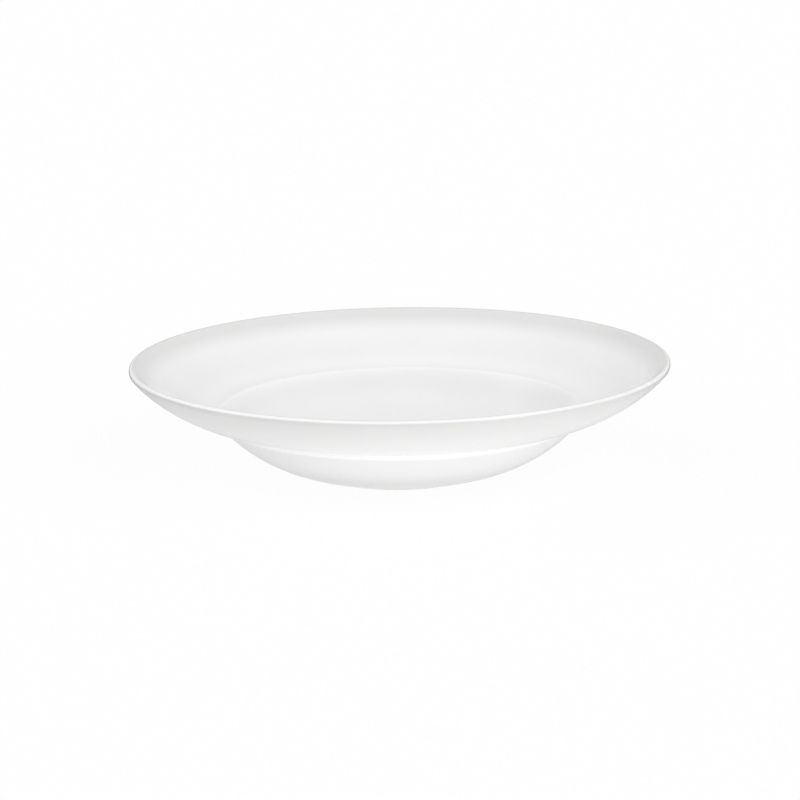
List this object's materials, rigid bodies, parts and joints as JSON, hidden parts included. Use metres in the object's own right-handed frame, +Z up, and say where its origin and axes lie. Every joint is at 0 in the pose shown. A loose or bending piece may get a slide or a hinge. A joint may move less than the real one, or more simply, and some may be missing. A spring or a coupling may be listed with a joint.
{
  "type": "soup plate",
  "caption": "Round white porcelain soup plate: a deep round well with a flat floor, a wide dished rim with a rolled lip, glossy glaze, and a low bare foot ring to stand on.",
  "frame": {"origin": "middle of the circle that the foot ring stands on, at table height", "axes": "+Z up along the plate's axis of revolution, +X and +Y level; the picture looks along +Y"},
  "size_m": [0.23, 0.23, 0.0472],
  "materials": {
    "biscuit": "bare fired porcelain, matt and fine-grained",
    "glaze": "glossy white fired glaze"
  },
  "bodies": {
    "root": {"porcelain_body": "biscuit", "glaze_coat": "glaze", "base_glaze": "glaze"}
  },
  "joints": []
}
